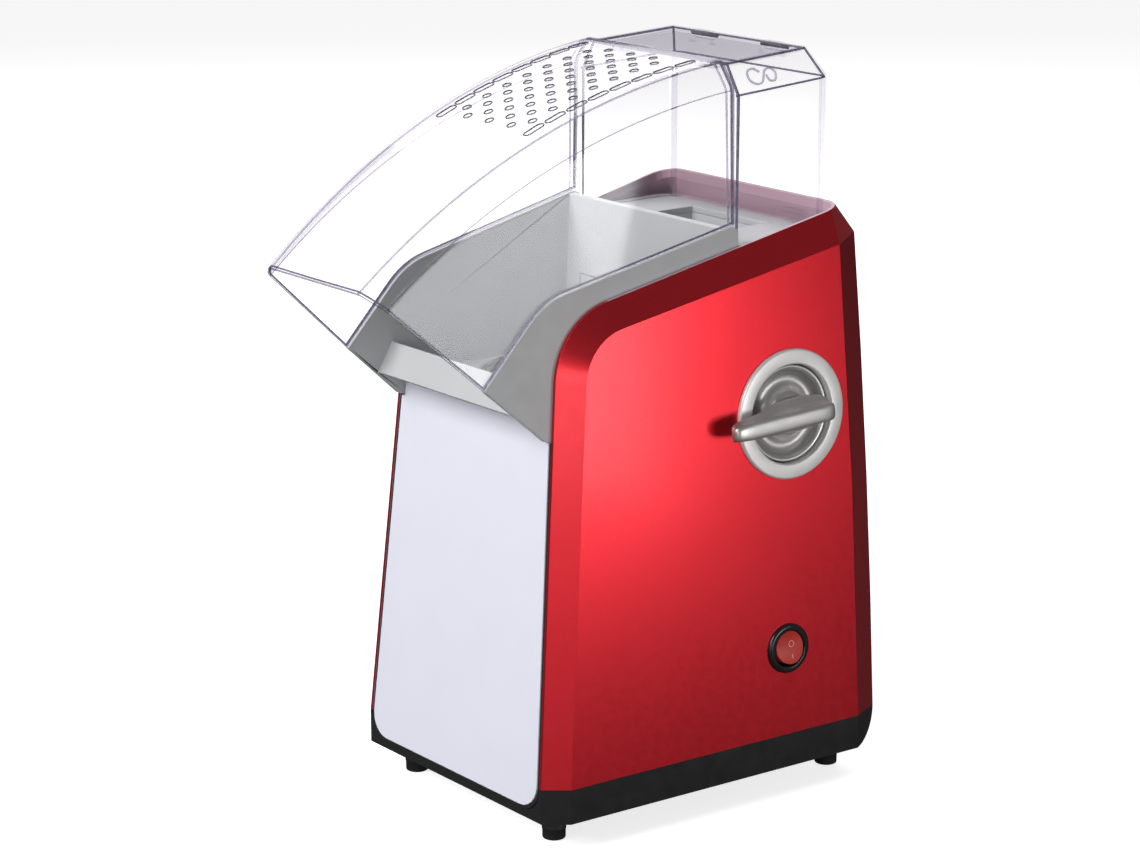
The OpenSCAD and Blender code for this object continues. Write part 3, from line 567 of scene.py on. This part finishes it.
def slot_outline(x, length, r, steps=20):
    """A circle, or a slot of that length between its ends' centres, as (x, y) points."""
    points = []
    for k in range(steps):
        a = 2 * math.pi * k / steps
        shift = math.copysign(length / 2, math.sin(a) + 1e-9)
        points.append((x + r * math.cos(a), shift + r * math.sin(a)))
    return points


def vent_cutters():
    """A straight pin through the cover at every vent."""
    bm = bmesh.new()
    for place, x, length in vent_places():
        outline = slot_outline(x, length, VENT_R)
        low = [bm.verts.new(place @ Vector((px, py, -8))) for px, py in outline]
        high = [bm.verts.new(place @ Vector((px, py, 6))) for px, py in outline]
        bm.faces.new(low[::-1])
        bm.faces.new(high)
        for k in range(len(low)):
            j = (k + 1) % len(low)
            bm.faces.new((low[k], low[j], high[j], high[k]))
    return bm


def loop_rod(bm, points, r, sides=6):
    """A round rod along a closed loop of points."""
    rings = []
    n = len(points)
    for i, p in enumerate(points):
        along = (points[(i + 1) % n] - points[i - 1]).normalized()
        across = along.cross(Vector((0, 0, 1))).normalized()
        up = across.cross(along)
        angles = [2 * math.pi * k / sides for k in range(sides)]
        rings.append([bm.verts.new(p + r * (math.cos(a) * across + math.sin(a) * up)) for a in angles])
    for i in range(n):
        a, b = rings[i], rings[(i + 1) % n]
        for k in range(sides):
            j = (k + 1) % sides
            bm.faces.new((a[k], a[j], b[j], b[k]))


def vent_rims():
    """A thin ring round every vent, just under the outer face."""
    bm = bmesh.new()
    for place, x, length in vent_places():
        outline = slot_outline(x, length, VENT_R + RIM_GAP)
        loop_rod(bm, [place @ Vector((px, py, -RIM_DEPTH)) for px, py in outline], RIM_ROD)
    return bm


def cover_shell():
    """The cover's clear wall, with its vents cut through."""
    mesh = bmesh_to_mesh("cover_shell", cover_skin())
    obj = piece("cover_shell", mesh, "cover", "clear", CLEAR, EDGE)
    wall = obj.modifiers.new("wall", "SOLIDIFY")
    wall.thickness = CLEAR_WALL * MM
    wall.offset = -1
    wall.use_even_offset = True
    wall.material_offset_rim = 1
    cutter_mesh = bmesh_to_mesh("vent_cutters", vent_cutters())
    cutter_mesh.materials.append(CLEAR)
    cutter = bpy.data.objects.new("vent_cutters", cutter_mesh)
    bpy.context.scene.collection.objects.link(cutter)
    cut = obj.modifiers.new("vents", "BOOLEAN")
    cut.operation = "DIFFERENCE"
    cut.solver = "EXACT"
    cut.object = cutter
    bake_modifiers(obj)
    bpy.data.objects.remove(cutter)
    smooth(obj, 30)
    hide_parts("front_cover")


def cover_folds():
    """Thin lines inside the cover's four long folds."""
    bm = bmesh.new()
    for flip in FLIPS:
        for a, b, r in FOLD_RODS:
            line = [(between(a, b, 0.005 + 0.99 * i / FOLD_STEPS) - FOLD_INSET) * flip
                    for i in range(FOLD_STEPS + 1)]
            tube(bm, line, r)
    return bm


def cover_hems_and_seat_shadow():
    """The cover's thick edge round the mouth and round the rear end; along both seats the dark rod is partly
    the cover's lower edge and partly painted shadow in the gap where the cover sits on the cheeks.
    """
    bm = bmesh.new()
    cover_hoop(bm, 0.007, 0.45, 0.7)
    cover_hoop(bm, 0.995, 0.5, 0.9)
    # Along the seats the dark rod also paints the shadow in the gap between the cover and the cheeks.
    seat = [seat_at(i / SEAT_STEPS) + Vector((-1.0, 0, 0.7)) for i in range(SEAT_STEPS + 1)]
    tube(bm, seat, SEAT_ROD)
    tube(bm, mirrored(seat), SEAT_ROD)
    return bm


def cover_hoop(bm, s, r, back):
    """A rod right round the cover's section at s, set back inside its outer face."""
    half = cover_section(s, 6, 6)
    middle = Vector((0, half[-1].y, half[-1].z - 40))
    half = [p + (middle - p).normalized() * back for p in half]
    tube(bm, half + mirrored(half[:-1])[::-1], r)


def front_cover():
    cover_shell()
    rods("cover_vent_rims", vent_rims(), "cover", SMOKE)
    rods("cover_fold_lines", cover_folds(), "cover", RIB)
    flange = bmesh.new()
    cover_hoop(flange, 0.98, 0.5, 0.7)
    rods("cover_rear_flange", flange, "cover", RIB)
    # The dark seat rods in this piece are partly painted shadow of the seam between the cover and the cheeks.
    rods("cover_hems_and_seat_shadow", cover_hems_and_seat_shadow(), "cover", EDGE)


# ---- the hopper --------------------------------------------------------------

HOPPER_FRONT = 57.8
HOPPER_REAR = 113.9
HOPPER_FOLD = Vector((54.9, HOPPER_FRONT, 320.4))
HOPPER_TOP = Vector((47.0, HOPPER_FRONT, 333.4))
HOPPER_BACK = Vector((45.7, 105.6, 336.2))
HOPPER_REAR_FOLD = Vector((54.2, HOPPER_REAR, 323.5))
HOPPER_INSET = Vector((-0.8, -0.4, -0.8))
CORNER_R = 6.0
CORNER = HOPPER_REAR_FOLD + Vector((-1.9, -1.9, 0))
FOOT_Z = 255.0
HOOK = ((-3, 59.2, 331.9), (-3, 62.5, 332.1), (-1, 64.2, 332.1),
        (2, 64.0, 332.1), (3.4, 61.6, 332.0), (3.6, 59.2, 331.9))
HOOK_XS = (-30.0, 31.0)
CATCH = ((17, 1.8), (14, 3.6), (10.5, 2.6), (10, -1.2), (13, -3.6), (16.6, -3.2), (18.6, -0.6),
         (20.5, 2.4), (24, 3.0), (26, 0.6), (24.6, -2.6), (21.4, -2.6), (20.4, 0.2))


def hopper_front_edge():
    """The dark edge of the hopper's front end, up one side and down the other."""
    bm = bmesh.new()
    pull = Vector((-0.9, 0.9, -0.9))
    front = [p + pull for p in (Vector((HOPPER_FOLD.x, HOPPER_FRONT, FOOT_Z)), HOPPER_FOLD, HOPPER_TOP)]
    tube(bm, front + mirrored(front)[::-1], 0.75)
    return bm


def hopper_edge_lines():
    """The folds and the top's outline, drawn as thin rods inside the wall."""
    bm = bmesh.new()
    side_fold = HOPPER_REAR_FOLD + Vector((-0.2, -CORNER_R, 0))
    rear_fold = HOPPER_REAR_FOLD + Vector((-CORNER_R, 0, 0))
    lines = (((HOPPER_FOLD, side_fold, CORNER, rear_fold), 0.5), ((HOPPER_TOP, HOPPER_BACK), 0.6),
             ((HOPPER_BACK, CORNER), 0.55))
    for flip in FLIPS:
        for line, r in lines:
            tube(bm, [(p + HOPPER_INSET) * flip for p in line], r)
    for end in (HOPPER_BACK + HOPPER_INSET, rear_fold + HOPPER_INSET):
        tube(bm, [end, Vector((-end.x, end.y, end.z))], 0.5)
    return bm


def hopper_rear_ribs():
    """The thicker plastic in the hopper's rear corners."""
    bm = bmesh.new()
    for flip in FLIPS:
        low = Vector((CORNER.x, CORNER.y, FOOT_Z))
        tube(bm, [(p + HOPPER_INSET * 2) * flip for p in (CORNER, low)], 1.5, 12)
    return bm


def hopper_hooks():
    """Two small hooks on the front edge of the hopper's top."""
    bm = bmesh.new()
    for x in HOOK_XS:
        tube(bm, [Vector((x + dx, y, z)) for dx, y, z in HOOK], 0.7)
    return bm


def hopper_catch():
    """The catch's curled loop on the near upper bevel."""
    bm = bmesh.new()
    slope = (HOPPER_TOP - HOPPER_FOLD).normalized()
    origin = HOPPER_FOLD.lerp(HOPPER_TOP, 0.5) + Vector((-0.9, 0, -0.5))
    tube(bm, [origin + Vector((0, y, 0)) + slope * h for y, h in smoothed(CATCH)], 0.55)
    return bm


def hopper():
    refined("hopper_shell", "hopper_cover", 0.8, 20, 3)
    refined("hopper_lid_panel", "hopper_lid", 0.35, 30, 2)
    refined("hopper_clip_tab", "hopper_clip", 0.3, 30, 2)
    rods("hopper_front_edge", hopper_front_edge(), "hopper", EDGE)
    rods("hopper_edge_lines", hopper_edge_lines(), "hopper", EDGE)
    rods("hopper_rear_ribs", hopper_rear_ribs(), "hopper", FAINT)
    rods("hopper_front_hooks", hopper_hooks(), "hopper", EDGE)
    rods("hopper_catch_loop", hopper_catch(), "hopper", RIB)


def smoothed(points, steps=5):
    """A curve through the points (Catmull-Rom)."""
    line = []
    ends = [points[0]] + list(points) + [points[-1]]
    for a, b, c, d in zip(ends, ends[1:], ends[2:], ends[3:]):
        for i in range(steps):
            t = i / steps
            line.append(tuple(0.5 * (2 * q + (r - p) * t + (2 * p - 5 * q + 4 * r - w) * t * t
                                     + (3 * q - p - 3 * r + w) * t ** 3) for p, q, r, w in zip(a, b, c, d)))
    return line + [points[-1]]


# ---- lever and dial ----------------------------------------------------------

# The lever's sections: y, half width of the outer face and of the foot, height, and the foot's height.
HANDLE = (
    (-39.6, 2.4, 3.2, 12.0, 8.2), (-38.0, 3.4, 4.6, 13.2, 7.2), (-33, 3.9, 5.4, 13.5, 6.6),
    (-27, 4.1, 6.0, 13.5, 6.0), (-21, 4.1, 6.8, 13.5, 4.6), (-15, 4.2, 8.2, 13.5, 2.2),
    (-9, 4.2, 9.4, 13.5, 1.0), (0, 4.2, 9.8, 13.5, 1.0), (8, 4.2, 9.4, 13.5, 1.0),
    (12.5, 4.2, 8.6, 13.4, 1.6), (15.4, 4.0, 7.4, 13.0, 3.8), (16.7, 3.2, 5.6, 12.0, 6.0),
)


def lever():
    on_ring = side_matrix(DOSE_AT)
    ring = ([(RING_R - 6.9, -8.9), (RING_R - 5.2, -8.9), (RING_R - 5.2, 0), (RING_R, 0)]
            + arc(RING_R - 0.9, 1.1, 0.9, 0, 90, 6) + arc(RING_R - 6.1, 1.2, 0.8, 90, 180, 6))
    obj = piece("lever_ring_flange", bmesh_to_mesh("lever_ring_flange", lathe(ring, on_ring, 128)),
                "root", "ring_pale", RING_PALE)
    smooth(obj, 40)
    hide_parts("lever_ring")

    bowl = [(4.2, -11.8), (RING_R - 7.5, -11.8), (RING_R - 7.5, -1.5)]
    bowl += arc(RING_R - 8.2, -1.5, 0.7, 0, 90, 4) + [(RING_R - 9.2, -1.1), (RING_R - 10.4, -2.2)]
    bowl += arc(RING_R - 14.4, -0.6, 4.6, -20, -160, 14)[1:]
    bowl += [(RING_R - 19.2, -0.9), (RING_R - 20.2, 0.0), (RING_R - 21.6, 0.5), (4.2, 0.9)]
    obj = piece("lever_dial_bowl", bmesh_to_mesh("lever_dial_bowl", lathe(bowl, on_ring, 128)),
                "lever", "lever_silver", SILVER)
    smooth(obj, 50)
    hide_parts("lever_dial")

    obj = piece("lever_handle", bmesh_to_mesh("lever_handle", handle()), "lever", "lever_silver", SILVER)
    soften = obj.modifiers.new("soften", "SUBSURF")
    soften.levels = soften.render_levels = 2
    obj.data.shade_smooth()
    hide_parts("lever_bar")


def handle():
    """The lever: a narrow outer face on flanks that hollow out towards the dial."""
    matrix = side_matrix(DOSE_AT, LEVER_TILT)
    sections = []
    for y, top, base, high, foot in HANDLE:
        waist = top * 0.96
        sections.append([
            (-base, y, foot), (-base * 0.5 - waist * 0.5, y, foot + (high - foot) * 0.28),
            (-waist, y, foot + (high - foot) * 0.62), (-top, y, high - 1.1), (-top + 0.9, y, high),
            (top - 0.9, y, high), (top, y, high - 1.1), (waist, y, foot + (high - foot) * 0.62),
            (base * 0.5 + waist * 0.5, y, foot + (high - foot) * 0.28), (base, y, foot)])
    bm = bmesh.new()
    rings = [[bm.verts.new(matrix @ Vector(p)) for p in section] for section in sections]
    for a, b in zip(rings, rings[1:]):
        for k in range(len(a)):
            j = (k + 1) % len(a)
            bm.faces.new((a[k], a[j], b[j], b[k]))
    bm.faces.new(rings[0][::-1])
    bm.faces.new(rings[-1])
    return bm


# ---- switch ------------------------------------------------------------------

DISH_R = 40
DISH_CENTRE = 44.6


def switch():
    matrix = side_matrix(SWITCH_AT)
    bezel = ([(8.3, -5.9), (9.7, -5.9), (9.7, 0), (BEZEL_R, 0)]
             + arc(BEZEL_R - 1.5, 0.3, 1.5, 0, 90, 8) + arc(9.1, 1.0, 0.8, 90, 180, 6))
    obj = piece("switch_bezel_ring", bmesh_to_mesh("switch_bezel_ring", lathe(bezel, matrix, 96)),
                "root", "bezel_black", BEZEL)
    smooth(obj, 40)
    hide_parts("switch_bezel")
    refined("switch_rocker_cap", "switch_rocker", 0.5, 30, 3)

    face = matrix @ Matrix.Translation((0, 0, -3)) @ Matrix.Rotation(math.radians(-8), 4, "Y")
    ring_in = [(-1.5 + x, 1 + y) for x, y in arc(0, 0, 1.25, 0, 345, 23)]
    ring_out = [(-1.5 + x, 1 + y) for x, y in arc(0, 0, 1.5, 0, 345, 23)]
    mark("switch_mark_off", face, ring_in, ring_out, True)
    bar_in = [(3.2 + 0.5 * i, 0.86) for i in range(5)]
    bar_out = [(3.2 + 0.5 * i, 1.14) for i in range(5)]
    mark("switch_mark_on", face, bar_in, bar_out, False)


def mark(name, face, inner, outer, closed):
    """A raised band between two lines on the rocker's hollow face."""
    bm = bmesh.new()
    rings = [[bm.verts.new(face @ Vector((x, y, dish(x) + z))) for (x, y), z in
              ((p, -0.2), (p, 0.06), (q, 0.06), (q, -0.2))] for p, q in zip(inner, outer)]
    spans = list(zip(rings, rings[1:])) + ([(rings[-1], rings[0])] if closed else [])
    for a, b in spans:
        for k in range(4):
            j = (k + 1) % 4
            bm.faces.new((a[k], a[j], b[j], b[k]))
    if not closed:
        bm.faces.new(rings[0])
        bm.faces.new(rings[-1][::-1])
    smooth(piece(name, bmesh_to_mesh(name, bm), "rocker", "rocker_red", MARK))


def dish(x):
    """Height of the rocker's hollow face over its pivot."""
    return DISH_CENTRE - math.sqrt(DISH_R ** 2 - x * x)


# ---- body, chute, feet -------------------------------------------------------

HOUSING_MIDDLE_Y = 0.035
INWARD = -0.2


def body():
    """The large moulded and pressed parts. The housing's inner faces are bare, so they get their own look."""
    skin = refined("housing_skin", "housing_shell", 0.9, 14, 3)
    skin.data.materials.append(BARE_RED)
    for poly in skin.data.polygons:
        out = Vector((poly.center.x, poly.center.y - HOUSING_MIDDLE_Y, 0))
        if Vector(poly.normal).dot(out) < INWARD * out.length:
            poly.material_index = 1
    refined("base_shell", "base_tray", 0.8, 25, 3)
    refined("panel_face", "front_panel", 0.4, 30, 3)
    refined("panel_frame", "front_frame", 0.25, 30, 2)
    refined("chute_body", "chute", 0.6, 25, 3)
    refined("chute_insert_plate", "chute_insert", 0.4, 30, 2)
    refined("deck_plate", "deck", 0.5, 30, 2)


def feet():
    for name in ("foot_front_left", "foot_front_right", "foot_rear_left", "foot_rear_right"):
        low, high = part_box(name)
        centre = Matrix.Translation(((low.x + high.x) / 2 / MM, (low.y + high.y) / 2 / MM, 0))
        profile = ([(0, 0.5), (3.6, 0.5), (3.9, 0)] + arc(4.6, 0.6, 0.6, -90, 0, 4)
                   + [(5.25, 4.4), (5.45, 4.7), (5.45, 5.6), (5.3, 5.9), (5.5, 13.9), (2.4, 13.9),
                      (2.4, 18.3), (0, 18.3)])
        obj = piece(name + "_pad", bmesh_to_mesh(name + "_pad", lathe(profile, centre, 64)),
                    "root", "foot_rubber", RUBBER)
        smooth(obj, 40)
        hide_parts(name)


# ---- stage -------------------------------------------------------------------

AZIMUTH = 51.69
ELEVATION = 15.05
LENS = 95.5
TARGET = Vector((0.0, 8.3, 167.7)) * MM
DISTANCE = 1.361
SIDE_AIM = Vector((75, -45, 150)) * MM
WORLD = 0.16
SIDE_POWER = 1.45
KEY_POWER = 29.0
FILL_POWER = 5.0
BACK_POWER = 14.0
FLOOR_GLOW = 0.76


def facing(azimuth, elevation):
    """Unit vector from the object towards a viewer at that angle."""
    a, e = math.radians(azimuth), math.radians(elevation)
    return Vector((math.sin(a) * math.cos(e), -math.cos(a) * math.cos(e), math.sin(e)))


def camera():
    data = bpy.data.cameras.new("camera")
    data.lens = LENS
    data.sensor_width = 36.0
    data.clip_start = 0.05
    data.clip_end = 60
    obj = bpy.data.objects.new("camera", data)
    bpy.context.scene.collection.objects.link(obj)
    obj.location = TARGET + DISTANCE * facing(AZIMUTH, ELEVATION)
    obj.rotation_euler = (TARGET - obj.location).to_track_quat("-Z", "Y").to_euler()
    bpy.context.scene.camera = obj


def softbox(name, azimuth, elevation, distance, width, height, power, aim=TARGET):
    """A rectangular light at that angle and distance from the point it aims at. Metres and watts."""
    data = bpy.data.lights.new(name, "AREA")
    data.shape = "RECTANGLE"
    data.size = width
    data.size_y = height
    data.energy = power
    obj = bpy.data.objects.new(name, data)
    bpy.context.scene.collection.objects.link(obj)
    obj.location = aim + distance * facing(azimuth, elevation)
    obj.rotation_euler = (aim - obj.location).to_track_quat("-Z", "Y").to_euler()


def studio_world():
    """Dim light all round, which the camera sees as white."""
    scene = bpy.context.scene
    scene.view_settings.view_transform = "Standard"
    world = bpy.data.worlds.new("studio")
    scene.world = world
    world.use_nodes = True
    tree = world.node_tree
    ground = tree.nodes["Background"]
    ground.inputs["Color"].default_value = (1, 1, 1, 1)
    ground.inputs["Strength"].default_value = WORLD
    seen = tree.nodes.new("ShaderNodeBackground")
    seen.inputs["Color"].default_value = (1, 1, 1, 1)
    ray = tree.nodes.new("ShaderNodeLightPath")
    both = tree.nodes.new("ShaderNodeMixShader")
    tree.links.new(ray.outputs["Is Camera Ray"], both.inputs[0])
    tree.links.new(ground.outputs[0], both.inputs[1])
    tree.links.new(seen.outputs[0], both.inputs[2])
    tree.links.new(both.outputs[0], tree.nodes["World Output"].inputs["Surface"])


def stage():
    studio_world()
    bm = bmesh.new()
    bmesh.ops.create_grid(bm, x_segments=1, y_segments=1, size=12)
    mesh = bpy.data.meshes.new("floor")
    bm.to_mesh(mesh)
    bm.free()
    floor = bpy.data.objects.new("floor", mesh)
    bpy.context.scene.collection.objects.link(floor)
    floor.location.z = -0.0002
    mesh.materials.append(floor_look())

    softbox("side", 114, -2, 0.80, 0.32, 0.24, SIDE_POWER, SIDE_AIM)
    softbox("key", -5, 34, 1.7, 1.2, 1.0, KEY_POWER)
    softbox("fill", 47, 4, 1.9, 0.8, 0.6, FILL_POWER)
    softbox("back", 238, 38, 1.9, 1.2, 1.2, BACK_POWER)


def floor_look():
    """Pale floor: evenly white to the camera but for the object's soft shadow, and greyer in reflections."""
    pale = Look("floor_pale")
    pale.link(pale.colours(pale.noise(3, 2), (0.80, 0.80, 0.80), (0.82, 0.82, 0.82)),
              pale.shader.inputs["Base Color"])
    pale.set(Roughness=0.9, Emission_Color=(1, 1, 1, 1), Emission_Strength=FLOOR_GLOW)
    dim = pale.node("ShaderNodeBsdfDiffuse", Color=(0.13, 0.13, 0.13, 1))
    ray = pale.node("ShaderNodeLightPath")
    both = pale.node("ShaderNodeMixShader")
    pale.link(ray.outputs["Is Camera Ray"], both.inputs[0])
    pale.link(dim.outputs[0], both.inputs[1])
    pale.link(pale.shader.outputs[0], both.inputs[2])
    pale.link(both.outputs[0], pale.output.inputs["Surface"])
    return pale.mat


body()
feet()
front_cover()
hopper()
lever()
switch()
camera()
stage()

# Through the clear walls' shadows, what stands behind them would render black.
for shown in bpy.context.scene.objects:
    if shown.type == "MESH" and shown.data.materials and shown.data.materials[0] in CLEAR_LOOKS:
        shown.visible_shadow = False
